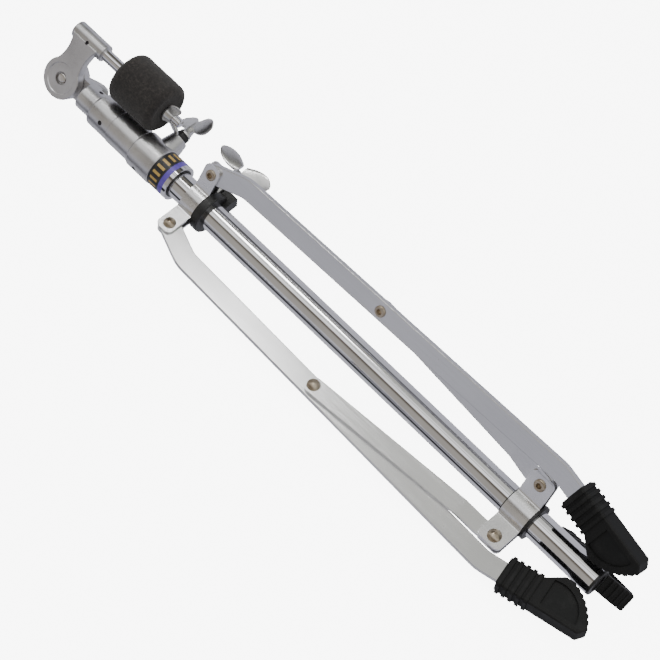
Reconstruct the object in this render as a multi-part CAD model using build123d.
from build123d import *
import math
import os

# A tripod cymbal boom stand, folded and lying on two of its legs.
# Millimetres. X runs along the tube from the tilter (-X) to the feet (+X), Z is up.
# While a piece is drawn, the tube's axis is X and the brace pivots are at x = 0.
# A height along the standing stand is called h, so h = -x. Angles round the tube
# start at leg A, which points up, and grow towards +Y.

# ---- overall sizes ----
PIVOT_SPAN = 337.5      # between the brace pivots and the leg pivots, folded
PIVOT_RADIUS = 29.4     # leg and brace pivots, from the tube's axis
ELBOW_RADIUS = 43.1     # rivet that joins leg and brace, from the tube's axis
SHOULDER_DROP = 29.0    # the leg's upper bend, below its pivot
SHOULDER_RADIUS = 40.2
ANKLE_H = -6.0          # the leg's lower bend
ANKLE_RADIUS = 47.8
FOOT_TOE_IN = 13.0      # degrees, foot towards the tube

# ---- clearances ----
SLIDE_FIT = 0.08        # collar bush on the base tube
RUN_FIT = 0.05          # turning and sliding fits
FACE_GAP = 0.2          # flat moving faces
OPEN_GAP = 0.3          # curved moving faces
CUT = 1.0               # how far a cutter runs past a face

# ---- tubes ----
BASE_TUBE_R = 11.1
BASE_TUBE_WALL = 1.2
BASE_TUBE_LOW = -71.0
BASE_TUBE_HIGH = PIVOT_SPAN + 62.5
LINER_WALL = 1.0        # nylon liner between the base tube and the upper tube
UPPER_TUBE_R = BASE_TUBE_R - BASE_TUBE_WALL - LINER_WALL
UPPER_TUBE_WALL = 1.2
UPPER_TUBE_LOW = 30.0
UPPER_TUBE_HIGH = BASE_TUBE_HIGH + 47.0
ARM_LINER_WALL = 1.7
ARM_R = UPPER_TUBE_R - UPPER_TUBE_WALL - ARM_LINER_WALL
ARM_LOW = 150.0
END_CAP_LIP = 2.0
END_CAP_DEPTH = 12.0

# ---- legs, braces and rivets ----
LEG_WIDTH = 16.0
LEG_THICK = 4.5
LEG_IN_BOOT = 44.0
SHOULDER_BEND_R = 26.0
BAR_EDGE = 0.6
BRACE_WIDTH = 13.4
BRACE_THICK = 3.0
JOGGLE_START = 13.0
JOGGLE_END = 31.0
JOGGLE_BEND_R = 6.0
RIVET_R = 3.0
RIVET_HEAD_H = 2.6
RIVET_TAIL_H = 1.5
RIVET_TAIL_BORE = 2.3
LEG_RIVET_HEAD_R = 4.9
ELBOW_RIVET_HEAD_R = 5.1
BRACE_RIVET_HEAD_R = 5.4

# ---- collars ----
BUSH_WALL = 1.5         # nylon bush between a collar's bands and the base tube
BAND_R = BASE_TUBE_R + BUSH_WALL
BAND_THICK = 2.0
BAND_BEND_R = 1.8
LEG_COLLAR_LENGTH = 14.5
LEG_COLLAR_OFFSET = 0.6
BRACE_COLLAR_LENGTH = 21.0
BRACE_COLLAR_OFFSET = 0.6
EAR_REACH = 7.3
EAR_CORNER_R = 4.0
BUSH_FLANGE_R = BAND_R + 4.0
BUSH_FLANGE_H = 7.4
BUSH_LOBE_REACH = 22.0
BUSH_LOBE_WIDTH = 10.0
BUSH_LOBE_H = 11.5
LOW_BUSH_FLANGE_R = BAND_R + 2.2
LOW_BUSH_FLANGE_H = 2.6
COLLAR_BOLT_ANGLE = 60.0
COLLAR_BOSS_R = 6.5
COLLAR_BOSS_TOP = 27.0
COLLAR_BOLT_LIFT = 6.0      # the collar's bolt is a few turns out

# ---- rubber feet ----
BOOT_TOP = 17.0
BOOT_HALF_WIDTH = 11.8
BOOT_THICK = 14.5
BOOT_RIB_COUNT = 5
BOOT_RIB_PITCH = 5.4
BOOT_RIB_H = 1.3
BOOT_HEEL = 63.0
BOOT_HEEL_DROP = 20.5
BOOT_LENGTH = 88.0
BOOT_TOOTH_COUNT = 7
BOOT_TOOTH_R = 2.0
BOOT_PANEL_DEPTH = 1.6
BOOT_PANEL_INSET = 4.5
BOOT_PANEL_START = 6.5
BOOT_CORNER_R = 2.2
BOOT_EDGE_R = 1.6
BOOT_RIB_R = 3.0
BOOT_TOE_CUT = 5.0
BOOT_HEEL_CUT = 7.0

# ---- base clamp ----
CLAMP_LOW = BASE_TUBE_HIGH - 39.4
CLAMP_SHOULDER = BASE_TUBE_HIGH - 21.0
CLAMP_HIGH = BASE_TUBE_HIGH + 3.0
CLAMP_SLEEVE_R = BASE_TUBE_R + 2.7
LABEL_R = CLAMP_SLEEVE_R + 1.4
CLAMP_R = LABEL_R + 0.7
LABEL_LOW = BASE_TUBE_HIGH - 32.4
ACCENT_LOW = BASE_TUBE_HIGH - 36.6
TRIM_LIP = 0.6
MOUTH_BUSH_R = BASE_TUBE_R + 1.3
MOUTH_BUSH_LIP = 0.5
CLAMP_PIN_H = BASE_TUBE_HIGH - 7.0
CLAMP_PIN_ANGLE = -123.0
PIN_R = 1.9
LINER_FLANGE_H = 2.0
LINER_LENGTH = 48.0
CLAMP_BOLT_H = BASE_TUBE_HIGH - 13.0
CLAMP_BOLT_ANGLE = 50.0
CLAMP_BOSS_R = 7.2
BOSS_FOOT_FLARE = 3.0
CLAMP_BOSS_TOP = 25.6
CLAMP_BOLT_TURN = 45.0
WASHER_R = 5.5
WASHER_H = 4.4

# ---- boom clamp ----
BOOM_CLAMP_R = UPPER_TUBE_R + 5.6
BOOM_CLAMP_STEP_R = BOOM_CLAMP_R - 0.4
BOOM_CLAMP_HIGH = UPPER_TUBE_HIGH + 3.0
BOOM_SEAM_H = UPPER_TUBE_HIGH - 19.0
BOOM_PIN_H = UPPER_TUBE_HIGH - 11.0
BOOM_PIN_ANGLE = -87.0
BOOM_BOLT_H = UPPER_TUBE_HIGH - 23.0
BOOM_BOLT_ANGLE = 95.0
BOOM_BOSS_TOP = 23.0

# ---- tilter and cymbal rod ----
ROD_ANGLE = 8.0         # direction from the tube's axis to the cymbal rod
ROD_OFFSET = 37.5
TILT_H = UPPER_TUBE_HIGH + 40.5
TILT_DISC_R = 16.6
TILT_HALF_THICK = 8.0
TILT_BOLT_R = 3.5
TILT_HEAD_R = 4.2
TILT_HEAD_H = 3.0
TILT_BOLT_TAIL = 12.0
TILT_DISH_R = 12.6
TILT_DISH_DEPTH = 0.7
TILT_RECESS_R = 5.2
TILT_RECESS_DEPTH = 4.0
TILT_NECK_R = 11.0
TILT_NECK_HIGH = UPPER_TUBE_HIGH + 19.0
TILT_STEM_OVERLAP = 6.0    # how far the rear half's stem reaches into its neck
TILT_WAIST_HALF = 9.5
WEB_FOOT_HALF = 13.0
WEB_FOOT_OUT = 9.0
WEB_LEFT_WAIST = (8.6, 21.0)
WEB_RIGHT_WAIST = (11.5, 21.0)
NECK_PIN_LIFT = 5.0
SOCKET_BLIND = 3.0          # solid end above the rod and the arm in their sockets
SOCKET_R = 7.2
SOCKET_LOW = TILT_H - 19.5
SOCKET_HIGH = TILT_H + 12.5
ROD_R = 4.75
ROD_END_R = 4.0
ROD_SHOULDER_H = TILT_H - 39.5
ROD_TIP_H = TILT_H - 103.5
ROD_GROOVE_R = 3.4        # thread relief, at the nut's front face
ROD_GROOVE_H = TILT_H - 96.2
ROD_GROOVE_WIDTH = 1.2
ROD_PIN_H = TILT_H - 4.5

# ---- felt and the nut under it ----
FELT_R = 21.0
FELT_LOW = TILT_H - 88.1
FELT_HIGH = TILT_H - 42.9
FELT_EDGE_R = 5.5
SLEEVE_R = 6.0
CUP_R = 13.0
CUP_H = 1.6
NUT_HUB_R = 6.6
NUT_HUB_H = 7.5

# ---- wing bolts ----
BOLT_R = 3.0
HUB_R = 5.0
HUB_H = 8.0
WING_SPAN = 52.0
WING_HEIGHT = 14.5
WING_THICK = 3.0
WING_PITCH = 14.0       # degrees, each wing turned like a propeller blade
NUT_WING_SPAN = 34.0
NUT_WING_HEIGHT = 12.0
NUT_TURN = 112.0        # degrees, the felt's nut as it was left
NUT_WING_FOOT = 1.0

LEG_ANGLES = {"a": 0.0, "b": -120.0, "c": 120.0}
LEG_HEAD_H = PIVOT_SPAN
HALF_SPAN = PIVOT_SPAN / 2
ELBOW_OUT = ELBOW_RADIUS - PIVOT_RADIUS
BRACE_LENGTH = math.hypot(HALF_SPAN, ELBOW_OUT)
BRACE_LEAN = math.degrees(math.atan2(ELBOW_OUT, HALF_SPAN))
BRACE_SIDE = LEG_THICK / 2 + FACE_GAP + BRACE_THICK / 2
BAND_OUT_R = BAND_R + BAND_THICK
BASE_BORE_R = BASE_TUBE_R - BASE_TUBE_WALL
UPPER_BORE_R = UPPER_TUBE_R - UPPER_TUBE_WALL


# ---- small helpers ----
def rod_x(low, high, radius):
    """A round bar along the tube's axis, from height low to height high."""
    return Pos(-(low + high) / 2, 0, 0) * Rot(0, 90, 0) * Cylinder(radius, high - low)


def ring_x(low, high, outer, inner):
    return rod_x(low, high, outer) - rod_x(low - CUT, high + CUT, inner)


def bar_z(low, high, radius):
    """A round bar that points straight up, from z = low to z = high."""
    return Pos(0, 0, (low + high) / 2) * Cylinder(radius, high - low)


def pin_y(start, end, radius):
    """A round bar along Y, through x = z = 0."""
    return Pos(0, (start + end) / 2, 0) * Rot(90, 0, 0) * Cylinder(radius, abs(end - start))


def around(angle):
    """Turns what is drawn at leg A's direction to another direction round the tube."""
    return Rot(-angle, 0, 0)


def slab(face, thick, centre=0.0):
    """A face drawn in x and z, given a thickness along Y."""
    return Pos(0, centre, 0) * extrude(Plane.XZ * face, amount=thick / 2, both=True)


def soften(body, axis, radius):
    """Rounds the long edges of a flat bar: those on its two side faces."""
    sides = body.faces().filter_by(axis)
    outer = [sides.sort_by(axis)[0], sides.sort_by(axis)[-1]]
    edges = [edge for face in outer for edge in face.outer_wire().edges()]
    return fillet(edges, radius)


# ---- tripod ----
def leg_strap():
    points = [
        (-LEG_HEAD_H, PIVOT_RADIUS),
        (-(LEG_HEAD_H - SHOULDER_DROP), SHOULDER_RADIUS),
        (-ANKLE_H, ANKLE_RADIUS),
        foot_point(LEG_IN_BOOT, 0),
    ]
    path = FilletPolyline(*points, radius=SHOULDER_BEND_R)
    strap = slab(Face(path.wire().offset_2d(LEG_WIDTH / 2)), LEG_THICK)
    strap = soften(strap, Axis.Y, BAR_EDGE)
    half = LEG_THICK / 2 + CUT
    strap -= Pos(-LEG_HEAD_H, 0, PIVOT_RADIUS) * pin_y(-half, half, RIVET_R + RUN_FIT)
    return strap - Pos(-HALF_SPAN, 0, ELBOW_RADIUS) * pin_y(-half, half, RIVET_R)


def foot_point(along, outward):
    """A point of the foot: along its axis from the ankle, and outward from it."""
    lean = math.radians(FOOT_TOE_IN)
    x = -ANKLE_H + along * math.cos(lean) + outward * math.sin(lean)
    z = ANKLE_RADIUS - along * math.sin(lean) + outward * math.cos(lean)
    return (x, z)


def boot_outline():
    neck = BOOT_TOP + BOOT_RIB_COUNT * BOOT_RIB_PITCH
    half = BOOT_HALF_WIDTH
    heel = (BOOT_HEEL, -BOOT_HEEL_DROP)
    toe = (BOOT_LENGTH, half * 0.45)
    sole = ThreePointArc(heel, (BOOT_LENGTH * 0.905, -half * 0.75), toe)
    back = [(neck, -half), (BOOT_HEEL - BOOT_HEEL_CUT, -BOOT_HEEL_DROP), heel]
    sides = Polyline(toe, (BOOT_LENGTH - BOOT_TOE_CUT, half), (BOOT_TOP, half), (BOOT_TOP, -half), *back)
    return make_face(Curve() + [sole, sides]), sole


def boot_body():
    outline, sole = boot_outline()
    body = extrude(outline, amount=BOOT_THICK / 2, both=True)
    body = fillet(body.edges().filter_by(Axis.Z), BOOT_CORNER_R)
    body = fillet(body.faces().sort_by(Axis.Z)[-1].edges(), BOOT_EDGE_R)
    body = fillet(body.faces().sort_by(Axis.Z)[0].edges(), BOOT_EDGE_R)
    for index in range(BOOT_TOOTH_COUNT):
        spot = sole @ ((index + 0.5) / BOOT_TOOTH_COUNT)
        body -= Pos(spot.X + 0.6, spot.Y - 0.6, 0) * Cylinder(BOOT_TOOTH_R, BOOT_THICK + CUT)
    return body


def boot_ribs():
    wide = 2 * (BOOT_HALF_WIDTH + BOOT_RIB_H)
    thick = BOOT_THICK + 2 * BOOT_RIB_H
    ribs = []
    for index in range(BOOT_RIB_COUNT):
        along = BOOT_TOP + (index + 0.55) * BOOT_RIB_PITCH
        rib = Pos(along, 0, 0) * Box(BOOT_RIB_PITCH * 0.5, wide, thick)
        ribs.append(fillet(rib.edges().filter_by(Axis.X), BOOT_RIB_R))
    return ribs


def boot_panels():
    """The shallow D-shaped recess in each side."""
    neck = BOOT_TOP + BOOT_RIB_COUNT * BOOT_RIB_PITCH
    half = BOOT_HALF_WIDTH - BOOT_PANEL_INSET
    start = (neck + BOOT_PANEL_START, -BOOT_HEEL_DROP + BOOT_HEEL_CUT)
    end = (BOOT_LENGTH - 2 * BOOT_PANEL_INSET, half)
    arc = ThreePointArc(start, (BOOT_LENGTH * 0.83, -half * 0.95), end)
    rest = Polyline(end, (neck + BOOT_PANEL_START, half), start)
    shape = extrude(make_face(Curve() + [arc, rest]), amount=BOOT_PANEL_DEPTH)
    low = -BOOT_THICK / 2
    return [Pos(0, 0, low) * shape, Pos(0, 0, -low - BOOT_PANEL_DEPTH) * shape]


def rubber_boot():
    boot = boot_body()
    for rib in boot_ribs():
        boot += rib
    for panel in boot_panels():
        boot -= panel
    pocket = Box(2 * LEG_IN_BOOT + LEG_WIDTH, LEG_WIDTH, LEG_THICK)
    pocket = fillet(pocket.edges().filter_by(Axis.Z), LEG_WIDTH / 2 - 0.01)
    boot -= pocket
    frame = Plane(origin=(-ANKLE_H, 0, ANKLE_RADIUS),
                  x_dir=(math.cos(math.radians(FOOT_TOE_IN)), 0, -math.sin(math.radians(FOOT_TOE_IN))),
                  z_dir=(0, -1, 0))
    return frame * boot


def brace_bar():
    """Drawn along X from the lower pivot, then leaned out to the elbow rivet."""
    end = BRACE_WIDTH / 2
    far = BRACE_LENGTH + end + CUT
    points = [(-end - CUT, 0), (JOGGLE_START, 0), (JOGGLE_END, BRACE_SIDE), (far, BRACE_SIDE)]
    path = FilletPolyline(*points, radius=JOGGLE_BEND_R)
    strip = extrude(Face(path.wire().offset_2d(BRACE_THICK / 2)), amount=end, both=True)
    outline = Pos(BRACE_LENGTH / 2, 0) * SlotOverall(BRACE_LENGTH + BRACE_WIDTH, BRACE_WIDTH)
    bar = strip & slab(outline, 4 * BRACE_SIDE)
    bar -= pin_y(-2 * BRACE_THICK, 2 * BRACE_THICK, RIVET_R + RUN_FIT)
    bar -= Pos(BRACE_LENGTH, BRACE_SIDE, 0) * pin_y(-2 * BRACE_THICK, 2 * BRACE_THICK, RIVET_R + RUN_FIT)
    lean = Plane(origin=(0, 0, PIVOT_RADIUS),
                 x_dir=(-math.cos(math.radians(BRACE_LEAN)), 0, math.sin(math.radians(BRACE_LEAN))),
                 z_dir=(math.sin(math.radians(BRACE_LEAN)), 0, math.cos(math.radians(BRACE_LEAN))))
    return lean * mirror(bar, about=Plane.XZ)


def rivet(head_y, tail_y, head_r):
    """A rivet along Y: a domed head at +Y and a rolled, hollow end at -Y."""
    ball_r = (head_r ** 2 + RIVET_HEAD_H ** 2) / (2 * RIVET_HEAD_H)
    dome = Pos(0, head_y + RIVET_HEAD_H - ball_r, 0) * Sphere(ball_r)
    dome &= pin_y(head_y, head_y + RIVET_HEAD_H, head_r)
    tail = pin_y(tail_y - RIVET_TAIL_H, tail_y, head_r * 0.88)
    tail = fillet(tail.edges().sort_by(Axis.Y)[0], RIVET_TAIL_H * 0.7)
    body = dome + tail + pin_y(tail_y, head_y, RIVET_R)
    return body - pin_y(tail_y - RIVET_TAIL_H - CUT, tail_y + CUT, RIVET_TAIL_BORE)


def fork_rivets(height, half_gap, head_r):
    outer = half_gap + BAND_THICK
    one = Pos(-height, 0, PIVOT_RADIUS) * rivet(outer, -outer, head_r)
    return [around(angle) * one for angle in LEG_ANGLES.values()]


def plate_profile(half_gap):
    """The three bent plates of a collar, seen along the tube: arcs with an ear at each end."""
    ring = Circle(BAND_OUT_R) - Circle(BAND_R)
    reach = PIVOT_RADIUS + EAR_REACH
    for angle in LEG_ANGLES.values():
        for side in (-1, 1):
            ear = Pos(side * (half_gap + BAND_THICK / 2), (BAND_R + reach) / 2)
            ring += Rot(0, 0, angle) * ear * Rectangle(BAND_THICK, reach - BAND_R)
    for angle in LEG_ANGLES.values():
        ring -= Rot(0, 0, angle) * Pos(0, reach / 2) * Rectangle(2 * half_gap, reach + CUT)
    corners = [v for v in ring.vertices() if BAND_OUT_R - 0.2 < math.hypot(v.X, v.Y) < BAND_OUT_R + 0.2]
    return fillet(corners, BAND_BEND_R)


def collar_plates(height, length, half_gap):
    flat = extrude(plate_profile(half_gap), amount=length / 2, both=True)
    plates = Pos(-height, 0, 0) * (Plane.YZ * flat)
    keep = rod_x(height - length, height + length, BAND_OUT_R + BAND_BEND_R)
    reach = PIVOT_RADIUS + EAR_REACH
    ear = Pos(0, 0, reach / 2) * Box(length, PIVOT_RADIUS, reach)
    ear = fillet(ear.faces().sort_by(Axis.Z)[-1].edges().filter_by(Axis.Y), EAR_CORNER_R)
    keep_ears = [around(angle) * Pos(-height, 0, 0) * ear for angle in LEG_ANGLES.values()]
    for piece in keep_ears:
        keep += piece
    return plates & keep


def drill_forks(plates, height):
    for angle in LEG_ANGLES.values():
        hole = Pos(-height, 0, PIVOT_RADIUS) * pin_y(-PIVOT_RADIUS / 2, PIVOT_RADIUS / 2, RIVET_R)
        plates -= around(angle) * hole
    return plates


def leg_collar():
    half_gap = LEG_THICK / 2 + FACE_GAP
    plates = collar_plates(LEG_HEAD_H + LEG_COLLAR_OFFSET, LEG_COLLAR_LENGTH, half_gap)
    boss = bar_z(BAND_R + BAND_THICK / 2, COLLAR_BOSS_TOP, COLLAR_BOSS_R)
    boss = fillet(boss.edges().sort_by(Axis.Z)[-1], 1.0)
    spot = around(COLLAR_BOLT_ANGLE) * Pos(-(LEG_HEAD_H + LEG_COLLAR_OFFSET), 0, 0)
    plates += spot * boss
    plates -= spot * bar_z(BAND_R - CUT, COLLAR_BOSS_TOP + CUT, BOLT_R + RUN_FIT)
    return drill_forks(plates, LEG_HEAD_H)


def collar_bush():
    top = LEG_HEAD_H + LEG_COLLAR_OFFSET + LEG_COLLAR_LENGTH / 2
    under = top - LEG_COLLAR_LENGTH
    bore = BASE_TUBE_R + SLIDE_FIT
    body = rod_x(under, top, BAND_R)
    flange = rod_x(under - BUSH_FLANGE_H, under, BUSH_FLANGE_R)
    flange = fillet(flange.edges(), 1.0)
    lobe = Pos(-(under - BUSH_LOBE_H / 2), 0, BUSH_LOBE_REACH / 2)
    lobe = lobe * Box(BUSH_LOBE_H, BUSH_LOBE_WIDTH, BUSH_LOBE_REACH)
    body += flange + around(COLLAR_BOLT_ANGLE) * lobe
    body -= rod_x(under - 2 * BUSH_LOBE_H, top + CUT, bore)
    seat = around(COLLAR_BOLT_ANGLE) * Pos(-(LEG_HEAD_H + LEG_COLLAR_OFFSET), 0, 0)
    return body - seat * bar_z(BASE_TUBE_R, BAND_R + CUT, BOLT_R + OPEN_GAP)


def brace_collar():
    half_gap = BRACE_THICK / 2 + FACE_GAP
    plates = collar_plates(BRACE_COLLAR_OFFSET, BRACE_COLLAR_LENGTH, half_gap)
    plates = drill_forks(plates, 0)
    return plates - collar_pin()


def brace_bush():
    top = BRACE_COLLAR_OFFSET + BRACE_COLLAR_LENGTH / 2
    under = top - BRACE_COLLAR_LENGTH
    body = rod_x(under - LOW_BUSH_FLANGE_H, under, LOW_BUSH_FLANGE_R)
    body = fillet(body.edges(), 0.8) + rod_x(under, top + 1.2, BAND_R)
    body -= rod_x(under - 2 * LOW_BUSH_FLANGE_H, top + 2 * CUT, BASE_TUBE_R)
    return body - collar_pin()


def collar_pin():
    """Holds the lower collar and its bush to the base tube."""
    pin = bar_z(BASE_TUBE_R - BASE_TUBE_WALL, BAND_OUT_R + 1.0, PIN_R)
    return around(COLLAR_BOLT_ANGLE) * Pos(-BRACE_COLLAR_OFFSET, 0, 0) * pin


# ---- tubes and clamps ----
def base_tube():
    tube = ring_x(BASE_TUBE_LOW, BASE_TUBE_HIGH, BASE_TUBE_R, BASE_BORE_R)
    tube -= collar_pin()
    tube -= clamp_pin()
    window = bar_z(BASE_BORE_R - CUT, BASE_TUBE_R + CUT, BOLT_R + OPEN_GAP)
    return tube - clamp_spot() * window


def tube_end_cap():
    lip = rod_x(BASE_TUBE_LOW - END_CAP_LIP, BASE_TUBE_LOW, BASE_TUBE_R)
    lip = fillet(lip.edges().sort_by(Axis.X)[-1], 1.0)
    plug = rod_x(BASE_TUBE_LOW, BASE_TUBE_LOW + END_CAP_DEPTH, BASE_BORE_R)
    dimple = rod_x(BASE_TUBE_LOW - END_CAP_LIP - CUT, BASE_TUBE_LOW - END_CAP_LIP / 2, BASE_BORE_R * 0.7)
    return lip + plug - dimple


def clamp_spot():
    return around(CLAMP_BOLT_ANGLE) * Pos(-CLAMP_BOLT_H, 0, 0)


def clamp_pin():
    pin = bar_z(BASE_BORE_R, CLAMP_R - 0.8, PIN_R)
    return around(CLAMP_PIN_ANGLE) * Pos(-CLAMP_PIN_H, 0, 0) * pin


def bolt_boss(foot_r, top_r, radius):
    """A tapered round boss on a casting, from inside its wall out to the bolt's seat."""
    taper = Pos(0, 0, (foot_r + top_r) / 2) * Cone(radius + BOSS_FOOT_FLARE, radius, top_r - foot_r)
    return fillet(taper.edges().sort_by(Axis.Z)[-1], 0.8)


def base_clamp():
    body = rod_x(CLAMP_SHOULDER, CLAMP_HIGH - OPEN_GAP, CLAMP_R)
    body = fillet(body.edges(), 1.2)
    body += clamp_spot() * bolt_boss(BASE_TUBE_R, CLAMP_BOSS_TOP, CLAMP_BOSS_R)
    body -= ring_x(CLAMP_LOW, CLAMP_SHOULDER, CLAMP_BOSS_TOP, CLAMP_SLEEVE_R)
    body += rod_x(CLAMP_LOW, CLAMP_SHOULDER + CUT, CLAMP_SLEEVE_R)
    body -= rod_x(CLAMP_LOW - CUT, BASE_TUBE_HIGH, BASE_TUBE_R)
    body -= rod_x(BASE_TUBE_HIGH - CUT, CLAMP_HIGH + CUT, BASE_TUBE_R + OPEN_GAP)
    body -= clamp_spot() * bar_z(0, CLAMP_BOSS_TOP + CUT, BOLT_R + RUN_FIT)
    return body - around(CLAMP_PIN_ANGLE) * Pos(-CLAMP_PIN_H, 0, 0) * bar_z(0, CLAMP_R + CUT, PIN_R)


def label_band():
    return ring_x(LABEL_LOW, CLAMP_SHOULDER, LABEL_R, CLAMP_SLEEVE_R)


def accent_ring():
    return ring_x(ACCENT_LOW, LABEL_LOW, LABEL_R, CLAMP_SLEEVE_R)


def trim_ring():
    ring = ring_x(CLAMP_LOW - TRIM_LIP, ACCENT_LOW, LABEL_R, CLAMP_SLEEVE_R)
    return chamfer(ring.edges().sort_by(Axis.X)[-1], TRIM_LIP)


def mouth_bush():
    ring = ring_x(CLAMP_LOW - MOUTH_BUSH_LIP, CLAMP_LOW, MOUTH_BUSH_R, BASE_TUBE_R)
    return chamfer(ring.edges().sort_by(Axis.X)[-1], MOUTH_BUSH_LIP / 2)


def tube_liner(low, flange_at, outer, inner, flange_r):
    """A thin nylon liner in a tube's mouth, with a flange on the tube's end."""
    body = rod_x(low, flange_at + LINER_FLANGE_H, outer)
    body += rod_x(flange_at, flange_at + LINER_FLANGE_H, flange_r)
    return body - rod_x(low - CUT, flange_at + 2 * LINER_FLANGE_H, inner)


def base_liner():
    return tube_liner(BASE_TUBE_HIGH - LINER_LENGTH, BASE_TUBE_HIGH, BASE_BORE_R - RUN_FIT,
                      UPPER_TUBE_R + RUN_FIT, BASE_TUBE_R - OPEN_GAP)


def upper_tube():
    tube = ring_x(UPPER_TUBE_LOW, UPPER_TUBE_HIGH, UPPER_TUBE_R, UPPER_BORE_R)
    tube -= boom_pin()
    window = bar_z(UPPER_BORE_R - CUT, UPPER_TUBE_R + CUT, BOLT_R + OPEN_GAP)
    return tube - boom_spot() * window


def boom_spot():
    return around(BOOM_BOLT_ANGLE) * Pos(-BOOM_BOLT_H, 0, 0)


def boom_pin():
    pin = bar_z(UPPER_BORE_R, BOOM_CLAMP_STEP_R - 1.2, PIN_R)
    return around(BOOM_PIN_ANGLE) * Pos(-BOOM_PIN_H, 0, 0) * pin


def boom_clamp():
    lower = rod_x(CLAMP_HIGH, BOOM_SEAM_H, BOOM_CLAMP_R)
    upper = rod_x(BOOM_SEAM_H, BOOM_CLAMP_HIGH, BOOM_CLAMP_STEP_R)
    upper = fillet(upper.edges().sort_by(Axis.X)[0], 2.0)
    body = fillet(lower.edges(), 0.8) + upper
    body += boom_spot() * bolt_boss(UPPER_TUBE_R, BOOM_BOSS_TOP, CLAMP_BOSS_R)
    body -= rod_x(CLAMP_HIGH - CUT, UPPER_TUBE_HIGH, UPPER_TUBE_R)
    body -= rod_x(UPPER_TUBE_HIGH - CUT, BOOM_CLAMP_HIGH + CUT, UPPER_TUBE_R + OPEN_GAP)
    body -= boom_spot() * bar_z(0, BOOM_BOSS_TOP + CUT, BOLT_R + RUN_FIT)
    return body - around(BOOM_PIN_ANGLE) * Pos(-BOOM_PIN_H, 0, 0) * bar_z(0, BOOM_CLAMP_R + CUT, PIN_R)


def boom_liner():
    return tube_liner(UPPER_TUBE_HIGH - LINER_LENGTH, UPPER_TUBE_HIGH, UPPER_BORE_R - RUN_FIT,
                      ARM_R + RUN_FIT, UPPER_TUBE_R - OPEN_GAP)


# ---- tilter, drawn with the cymbal rod straight above the tube's axis ----
def tilt_frame():
    return around(ROD_ANGLE)


def neck_pin():
    pin = bar_z(-TILT_NECK_R + 0.8, TILT_NECK_R - 0.8, PIN_R)
    return tilt_frame() * Pos(-(BOOM_CLAMP_HIGH + NECK_PIN_LIFT), 0, 0) * pin


def boom_arm():
    arm = rod_x(ARM_LOW, TILT_NECK_HIGH - SOCKET_BLIND, ARM_R)
    arm = chamfer(arm.edges(), 0.6)
    return arm - neck_pin()


def tilter_lower():
    """The half that is fixed to the arm: a socket, a neck and the rear disc."""
    neck = rod_x(BOOM_CLAMP_HIGH + OPEN_GAP, TILT_NECK_HIGH, TILT_NECK_R)
    neck = fillet(neck.edges(), 1.4)
    middle = FACE_GAP / 2 + TILT_HALF_THICK / 2
    disc = slab(Circle(TILT_DISC_R), TILT_HALF_THICK, middle)
    stem_low = TILT_NECK_HIGH - TILT_STEM_OVERLAP
    stem = Box(TILT_H - stem_low, TILT_HALF_THICK, 2 * TILT_WAIST_HALF)
    stem = Pos(-(stem_low + TILT_H) / 2, middle, 0) * stem
    body = Pos(-TILT_H, 0, 0) * soften(disc, Axis.Y, 1.0) + stem
    body += neck - tilt_sweep()
    body -= Pos(-TILT_H, 0, 0) * pin_y(0, 2 * TILT_HALF_THICK, TILT_BOLT_R + RUN_FIT)
    body -= rod_x(0, TILT_NECK_HIGH - SOCKET_BLIND, ARM_R)
    body -= Pos(-(BOOM_CLAMP_HIGH + NECK_PIN_LIFT), 0, 0) * bar_z(-2 * TILT_NECK_R, 2 * TILT_NECK_R, PIN_R)
    return tilt_frame() * body


def tilt_sweep():
    """The room that the turning half needs."""
    return Pos(-TILT_H, 0, 0) * pin_y(-2 * TILT_HALF_THICK, 0, TILT_DISC_R + 1.0)


def tilter_upper():
    """The half that turns: a dished disc, a waisted web and the socket of the cymbal rod."""
    middle = -FACE_GAP / 2 - TILT_HALF_THICK / 2
    front = -FACE_GAP / 2 - TILT_HALF_THICK
    body = soften(slab(turning_face(), TILT_HALF_THICK, middle), Axis.Y, 1.0)
    socket = rod_x(SOCKET_LOW, SOCKET_HIGH, SOCKET_R)
    body += Pos(0, 0, ROD_OFFSET) * fillet(socket.edges(), 1.2)
    hub = Pos(-TILT_H, 0, 0)
    dish = pin_y(front - CUT, front + TILT_DISH_DEPTH, TILT_DISH_R)
    body -= hub * chamfer(dish.edges().sort_by(Axis.Y)[-1], TILT_DISH_DEPTH * 0.9)
    body -= hub * pin_y(front - CUT, front + TILT_RECESS_DEPTH, TILT_RECESS_R)
    body -= hub * pin_y(front - CUT, 0, TILT_BOLT_R)
    body -= Pos(0, 0, ROD_OFFSET) * rod_x(SOCKET_LOW - CUT, SOCKET_HIGH - SOCKET_BLIND, ROD_R)
    return tilt_frame() * (body - rod_pin_bar(SOCKET_R + CUT))


def turning_face():
    """The turning disc and its web, in x and z, with the corners between them rounded."""
    face = Pos(-TILT_H, 0) * Circle(TILT_DISC_R) + web_face()
    corners = [v for v in face.vertices() if 5.0 < v.Y < ROD_OFFSET - CUT]
    return fillet(corners, 4.0)


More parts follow.
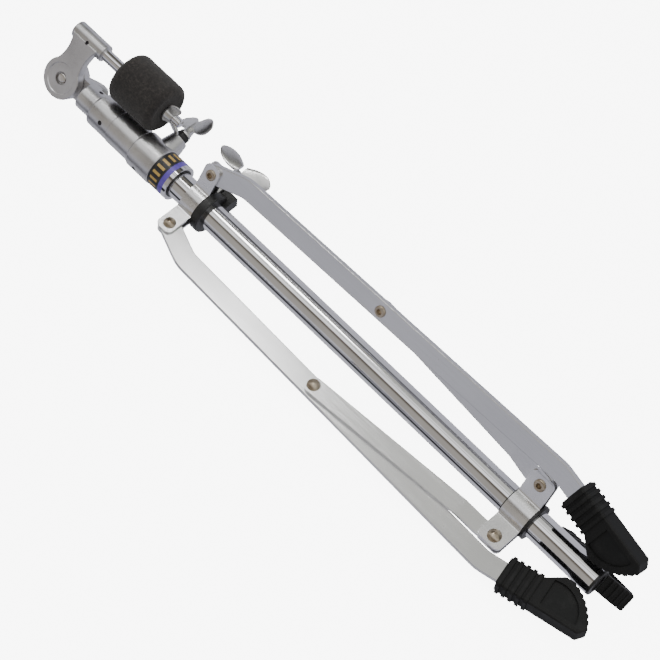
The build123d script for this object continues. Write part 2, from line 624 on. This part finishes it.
def web_face():
    """The waisted web between the disc and the socket, in x and z."""
    low = -SOCKET_HIGH + 2.0
    high = -SOCKET_LOW - 3.0
    left_foot = (-TILT_H - WEB_FOOT_HALF, WEB_FOOT_OUT)
    right_foot = (-TILT_H + WEB_FOOT_HALF, WEB_FOOT_OUT)
    left_waist = (-TILT_H - WEB_LEFT_WAIST[0], WEB_LEFT_WAIST[1])
    right_waist = (-TILT_H + WEB_RIGHT_WAIST[0], WEB_RIGHT_WAIST[1])
    left = ThreePointArc(left_foot, left_waist, (low, ROD_OFFSET))
    right = ThreePointArc(right_foot, right_waist, (high, ROD_OFFSET))
    base = Polyline(left_foot, (-TILT_H, 0), right_foot)
    top = Line((low, ROD_OFFSET), (high, ROD_OFFSET))
    return make_face(Curve() + [left, right, base, top])


def rod_pin_bar(front):
    return Pos(-ROD_PIN_H, 0, ROD_OFFSET) * pin_y(-front, front, PIN_R * 0.8)


def rod_pin():
    return tilt_frame() * rod_pin_bar(SOCKET_R - 1.0)


def tilter_bolt():
    front = -FACE_GAP / 2 - TILT_HALF_THICK + TILT_RECESS_DEPTH
    back = FACE_GAP / 2 + TILT_HALF_THICK
    head = pin_y(front - TILT_HEAD_H, front, TILT_HEAD_R)
    head = fillet(head.edges().sort_by(Axis.Y)[0], 2.2)
    return tilt_frame() * Pos(-TILT_H, 0, 0) * (head + pin_y(front, back + TILT_BOLT_TAIL, TILT_BOLT_R))


def cymbal_rod():
    rod = rod_x(ROD_SHOULDER_H, SOCKET_HIGH - SOCKET_BLIND, ROD_R)
    end = rod_x(ROD_TIP_H, ROD_SHOULDER_H, ROD_END_R)
    end = chamfer(end.edges().sort_by(Axis.X)[-1], 1.0)
    end -= ring_x(ROD_GROOVE_H, ROD_GROOVE_H + ROD_GROOVE_WIDTH, ROD_R, ROD_GROOVE_R)
    return tilt_frame() * (Pos(0, 0, ROD_OFFSET) * (rod + end) - rod_pin_bar(SOCKET_R + CUT))


def cup_washer():
    low = FELT_HIGH + FACE_GAP
    cup = ring_x(low, low + CUP_H, CUP_R, ROD_END_R)
    return tilt_frame() * Pos(0, 0, ROD_OFFSET) * fillet(cup.edges().sort_by(Axis.X)[0], 0.8)


def rod_sleeve():
    high = FELT_HIGH + FACE_GAP
    sleeve = ring_x(FELT_LOW, high, SLEEVE_R, ROD_END_R)
    return tilt_frame() * Pos(0, 0, ROD_OFFSET) * sleeve


def felt():
    body = fillet(rod_x(FELT_LOW, FELT_HIGH, FELT_R).edges(), FELT_EDGE_R)
    body -= rod_x(FELT_LOW - CUT, FELT_HIGH + CUT, SLEEVE_R + OPEN_GAP)
    return tilt_frame() * Pos(0, 0, ROD_OFFSET) * body


# ---- wing bolts: drawn upwards, wings along X ----
def wing_face(span, height, root_r):
    """One wing, from the hub out to +X."""
    tip = span / 2
    lower = Spline((root_r, 0), (tip * 0.55, height * 0.14), (tip, height * 0.62))
    end = ThreePointArc((tip, height * 0.62), (tip * 1.005, height * 0.78), (tip * 0.93, height * 0.9))
    upper = Spline((tip * 0.93, height * 0.9), (tip * 0.6, height), (root_r + 1.0, height * 0.7))
    root = Line((root_r + 1.0, height * 0.7), (root_r, 0))
    return make_face(Curve() + [lower, end, upper, root])


def wing_pair(span, height, foot, root_r):
    wing = soften(slab(wing_face(span, height, root_r), WING_THICK), Axis.Y, WING_THICK * 0.35)
    lift = Pos(0, 0, foot)
    pair = Rot(WING_PITCH, 0, 0) * wing + Rot(0, 0, 180) * Rot(WING_PITCH, 0, 0) * wing
    return lift * pair


def wing_bolt(seat, tip):
    """Its hub sits on seat, and its shank reaches in to tip."""
    hub = Pos(0, 0, seat + HUB_H / 2) * Cone(HUB_R, HUB_R * 0.72, HUB_H)
    body = hub + bar_z(tip, seat, BOLT_R)
    return body + wing_pair(WING_SPAN, WING_HEIGHT, seat + HUB_H * 0.6, HUB_R * 0.4)


def collar_wing_bolt():
    spot = around(COLLAR_BOLT_ANGLE) * Pos(-(LEG_HEAD_H + LEG_COLLAR_OFFSET), 0, 0)
    return spot * wing_bolt(COLLAR_BOSS_TOP + COLLAR_BOLT_LIFT, BASE_TUBE_R + OPEN_GAP)


def clamp_wing_bolt():
    seat = CLAMP_BOSS_TOP + FACE_GAP + WASHER_H
    return clamp_spot() * Rot(0, 0, -CLAMP_BOLT_TURN) * wing_bolt(seat, BASE_BORE_R + OPEN_GAP)


def clamp_washer():
    low = CLAMP_BOSS_TOP + FACE_GAP
    washer = bar_z(low, low + WASHER_H, WASHER_R) - bar_z(low - CUT, low + WASHER_H + CUT, BOLT_R)
    return clamp_spot() * fillet(washer.edges().filter_by(GeomType.CIRCLE).group_by(SortBy.RADIUS)[-1], 0.8)


def boom_wing_bolt():
    return boom_spot() * Rot(0, 0, 90) * wing_bolt(BOOM_BOSS_TOP + FACE_GAP, UPPER_BORE_R + OPEN_GAP)


def tilter_wing_nut():
    """On the rear end of the tilter's bolt, with its wings along the tube."""
    back = FACE_GAP / 2 + TILT_HALF_THICK
    hub = Pos(0, 0, HUB_H / 2) * Cone(NUT_HUB_R, NUT_HUB_R * 0.8, HUB_H)
    nut = hub + wing_pair(WING_SPAN, WING_HEIGHT, HUB_H * 0.5, HUB_R * 0.8)
    nut -= bar_z(-CUT, 3 * HUB_H, TILT_BOLT_R + RUN_FIT)
    return tilt_frame() * Pos(-TILT_H, back + FACE_GAP, 0) * Rot(-90, 0, 0) * nut


def rod_wing_nut():
    """Holds the felt on the rod: its wings point away from the felt."""
    hub = Pos(0, 0, NUT_HUB_H / 2) * Cone(NUT_HUB_R, NUT_HUB_R * 0.85, NUT_HUB_H)
    nut = hub + wing_pair(NUT_WING_SPAN, NUT_WING_HEIGHT, NUT_WING_FOOT, NUT_HUB_R * 0.85)
    nut -= bar_z(-CUT, 3 * NUT_HUB_H, ROD_END_R + RUN_FIT)
    spot = Pos(-(FELT_LOW - FACE_GAP), 0, ROD_OFFSET)
    return tilt_frame() * spot * Rot(0, 90, 0) * Rot(0, 0, NUT_TURN) * nut


# ---- the whole stand ----
def tripod_pieces():
    pieces = {}
    strap = leg_strap()
    boot = rubber_boot()
    brace = brace_bar()
    elbow_head = BRACE_SIDE + BRACE_THICK / 2 + FACE_GAP / 2
    elbow = Pos(-HALF_SPAN, 0, ELBOW_RADIUS) * rivet(elbow_head, -LEG_THICK / 2, ELBOW_RIVET_HEAD_R)
    for name, angle in LEG_ANGLES.items():
        pieces["leg_" + name] = around(angle) * strap
        pieces["foot_" + name] = around(angle) * boot
        pieces["brace_" + name] = around(angle) * brace
        pieces["elbow_rivet_" + name] = around(angle) * elbow
    return pieces


def collar_pieces():
    leg_gap = LEG_THICK / 2 + FACE_GAP
    brace_gap = BRACE_THICK / 2 + FACE_GAP
    return {
        "leg_collar": leg_collar(),
        "leg_collar_bush": collar_bush(),
        "leg_collar_rivets": Compound(fork_rivets(LEG_HEAD_H, leg_gap, LEG_RIVET_HEAD_R)),
        "collar_wing_bolt": collar_wing_bolt(),
        "brace_collar": brace_collar(),
        "brace_collar_bush": brace_bush(),
        "brace_collar_rivets": Compound(fork_rivets(0, brace_gap, BRACE_RIVET_HEAD_R)),
        "brace_collar_pin": collar_pin(),
    }


def column_pieces():
    return {
        "base_tube": base_tube(),
        "tube_end_cap": tube_end_cap(),
        "base_clamp": base_clamp(),
        "base_clamp_pin": clamp_pin(),
        "label_band": label_band(),
        "accent_ring": accent_ring(),
        "trim_ring": trim_ring(),
        "mouth_bush": mouth_bush(),
        "base_liner": base_liner(),
        "clamp_wing_bolt": clamp_wing_bolt(),
        "clamp_washer": clamp_washer(),
        "upper_tube": upper_tube(),
        "boom_clamp": boom_clamp(),
        "boom_clamp_pin": boom_pin(),
        "boom_liner": boom_liner(),
        "boom_wing_bolt": boom_wing_bolt(),
    }


def tilter_pieces():
    return {
        "boom_arm": boom_arm(),
        "tilter_lower": tilter_lower(),
        "tilter_neck_pin": neck_pin(),
        "tilter_upper": tilter_upper(),
        "tilter_bolt": tilter_bolt(),
        "tilter_wing_nut": tilter_wing_nut(),
        "cymbal_rod": cymbal_rod(),
        "cymbal_rod_pin": rod_pin(),
        "cup_washer": cup_washer(),
        "rod_sleeve": rod_sleeve(),
        "felt": felt(),
        "rod_wing_nut": rod_wing_nut(),
    }


def rest_shift(pieces):
    """Puts the origin under the middle of the lying stand, on the surface it lies on."""
    box = Compound(list(pieces.values())).bounding_box()
    return Vector(-box.center().X, -box.center().Y, -box.min.Z)


PIECES = {**tripod_pieces(), **collar_pieces(), **column_pieces(), **tilter_pieces()}
SHIFT = rest_shift(PIECES)
os.makedirs("parts", exist_ok=True)
for node, piece in PIECES.items():
    export_step(Pos(SHIFT) * piece, "parts/" + node + ".step")
print("origin shift", SHIFT.X, SHIFT.Y, SHIFT.Z)
